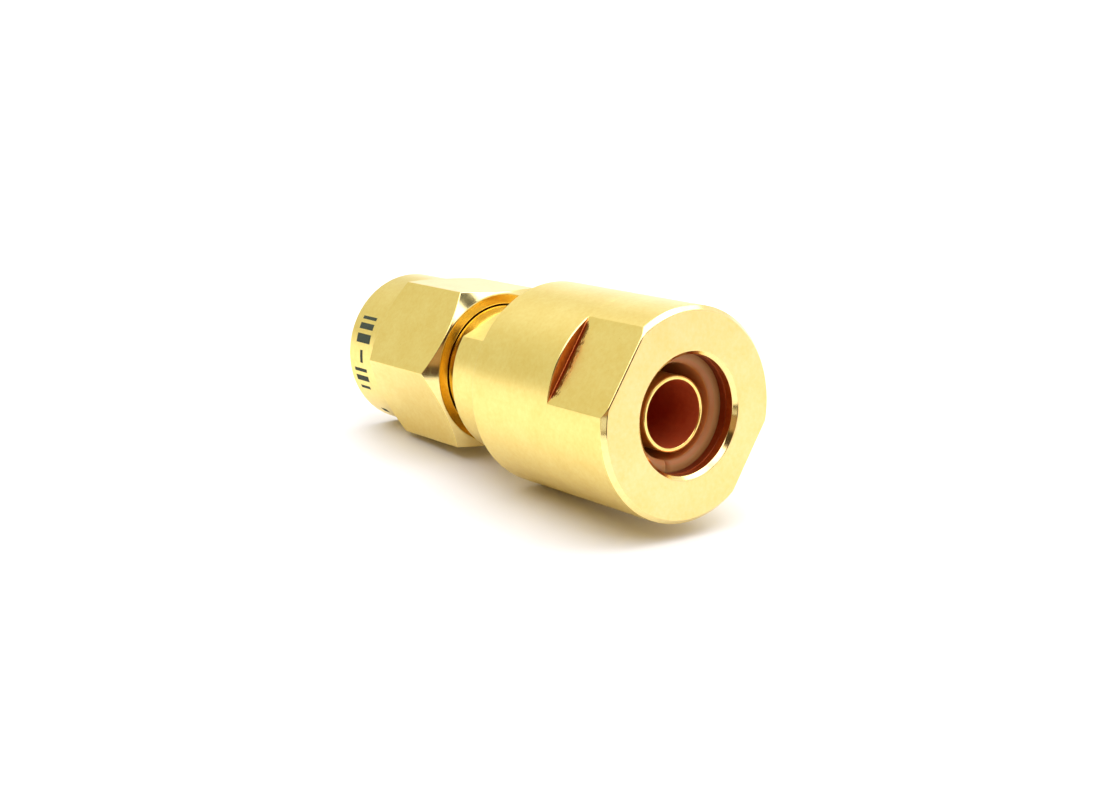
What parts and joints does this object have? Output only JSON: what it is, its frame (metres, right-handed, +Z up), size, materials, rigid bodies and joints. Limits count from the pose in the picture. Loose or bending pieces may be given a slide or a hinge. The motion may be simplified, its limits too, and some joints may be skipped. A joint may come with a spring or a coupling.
{
  "type": "coaxial cable connector",
  "caption": "Gold-plated screw-on coaxial plug with a free-turning hexagon coupling nut, a centre pin and a flatted clamp nut for the cable.",
  "frame": {"origin": "on the axis, in the plug's reference plane, which is the front of its outer conductor, where the contact pin leaves the insulator", "axes": "+X along the axis from the mating end to the cable end, +Z up as the connector lies on its side"},
  "size_m": [0.0229, 0.01, 0.01],
  "materials": {
    "body_gold": "fine-turned, gold plated",
    "nut_gold": "smooth milled flats, gold plated",
    "clamp_gold": "fine-turned, gold plated, satin",
    "ferrule_gold": "bright drawn tube, gold plated",
    "contact_gold": "polished, gold plated",
    "washer_gold": "plain, gold plated",
    "spring_bronze": "bare spring bronze",
    "ptfe": "turned white PTFE",
    "gasket_silicone": "translucent grey silicone",
    "seal_silicone": "soft red-brown silicone"
  },
  "bodies": {
    "plug": {"plug_body": "body_gold", "front_insulator": "ptfe", "rear_insulator": "ptfe", "center_contact": "contact_gold", "interface_seal": "seal_silicone", "braid_ferrule": "ferrule_gold", "cable_gasket": "gasket_silicone"},
    "coupling_ring": {"snap_ring": "spring_bronze"},
    "coupling_nut": {"coupling_nut": "nut_gold"},
    "clamp_carriage": {"thrust_washer": "washer_gold"},
    "clamp_nut": {"clamp_nut": "clamp_gold"}
  },
  "joints": [
    {"name": "coupling_float", "type": "slide", "parent": "plug", "child": "coupling_ring", "axis": [1, 0, 0], "range_m": [-0.0001, 0.0002]},
    {"name": "coupling_turn", "type": "hinge", "parent": "coupling_ring", "child": "coupling_nut", "pos_m": [0, 0, 0], "axis": [1, 0, 0], "continuous": true},
    {"name": "clamp_travel", "type": "slide", "parent": "plug", "child": "clamp_carriage", "axis": [1, 0, 0], "range_m": [0, 0.0075]},
    {"name": "clamp_turn", "type": "hinge", "parent": "clamp_carriage", "child": "clamp_nut", "pos_m": [0.0146, 0, 0], "axis": [1, 0, 0], "range_deg": [0, 3610]}
  ],
  "couplings": [
    {"joint": "clamp_turn", "follows": "clamp_travel", "rad_per_m": 8377.6}
  ]
}
